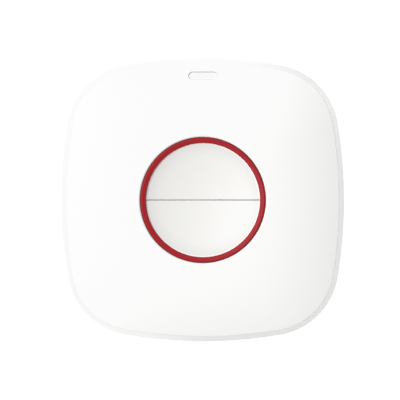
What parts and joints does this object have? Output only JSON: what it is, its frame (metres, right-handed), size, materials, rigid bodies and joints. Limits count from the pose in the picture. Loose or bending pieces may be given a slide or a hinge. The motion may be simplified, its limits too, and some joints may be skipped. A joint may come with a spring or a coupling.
{
  "type": "wireless panic button",
  "caption": "Square pillow-shaped wireless panic button with a domed white face, a red bezel ring, two half-disc dished keys, a signal window and a coin-turned battery door.",
  "frame": {"origin": "centre of the flat back face, at the lowest point of the part as it lies on its back", "axes": "+Z out of the front face, +Y towards the signal window, +X to the right seen from the front"},
  "size_m": [0.06, 0.06, 0.0159],
  "materials": {
    "white_moulding": "satin",
    "red_bezel": "satin",
    "key_moulding": "matte",
    "silicone": "matte",
    "inner_moulding": "matte",
    "board_laminate": "satin",
    "screw_steel": "satin",
    "switch_moulding": "satin",
    "plunger_moulding": "satin",
    "clear_guide": "gloss",
    "lamp_resin": "gloss",
    "chip_resin": "matte",
    "tinned_sheet": "satin",
    "chip_ceramic": "matte",
    "capacitor_can": "satin",
    "spring_bronze": "satin",
    "cell_can": "satin",
    "cushion_foam": "matte"
  },
  "bodies": {
    "root": {"front_cover": "white_moulding", "rear_cover": "white_moulding", "cover_gasket": "silicone", "cover_screws": "screw_steel", "bezel_ring": "red_bezel", "key_membrane": "silicone", "key_retainer": "inner_moulding", "retainer_screws": "screw_steel", "circuit_board": "board_laminate", "board_screws": "screw_steel", "upper_switch": "switch_moulding", "lower_switch": "switch_moulding", "light_guide": "clear_guide", "signal_lamp": "lamp_resin", "control_chip": "chip_resin", "timing_crystal": "tinned_sheet", "small_parts": "chip_ceramic", "radio_shield": "tinned_sheet", "bulk_capacitor": "capacitor_can", "antenna_strip": "spring_bronze", "coin_cell": "cell_can", "battery_holder": "inner_moulding", "negative_contact": "spring_bronze", "positive_contact": "spring_bronze"},
    "upper_key": {"upper_key": "key_moulding"},
    "lower_key": {"lower_key": "key_moulding"},
    "upper_plunger": {"upper_plunger": "plunger_moulding"},
    "lower_plunger": {"lower_plunger": "plunger_moulding"},
    "battery_door": {"battery_door": "white_moulding", "door_seal": "silicone", "battery_cushion": "cushion_foam"}
  },
  "joints": [
    {"name": "upper_key_press", "type": "slide", "parent": "root", "child": "upper_key", "axis": [0, 0, -1], "range_m": [0, 0.0006], "stiffness_N_per_m": 600, "deforming": ["key_membrane"]},
    {"name": "upper_plunger_press", "type": "slide", "parent": "root", "child": "upper_plunger", "axis": [0, 0, -1], "range_m": [0, 0.0003]},
    {"name": "lower_key_press", "type": "slide", "parent": "root", "child": "lower_key", "axis": [0, 0, -1], "range_m": [0, 0.0006], "stiffness_N_per_m": 600, "deforming": ["key_membrane"]},
    {"name": "lower_plunger_press", "type": "slide", "parent": "root", "child": "lower_plunger", "axis": [0, 0, -1], "range_m": [0, 0.0003]},
    {"name": "battery_door_turn", "type": "hinge", "parent": "root", "child": "battery_door", "pos_m": [0, 0, 0], "axis": [0, 0, -1], "range_deg": [0, 40]}
  ],
  "couplings": [
    {"joint": "upper_plunger_press", "follows": "upper_key_press", "ratio": 0.5},
    {"joint": "lower_plunger_press", "follows": "lower_key_press", "ratio": 0.5}
  ]
}
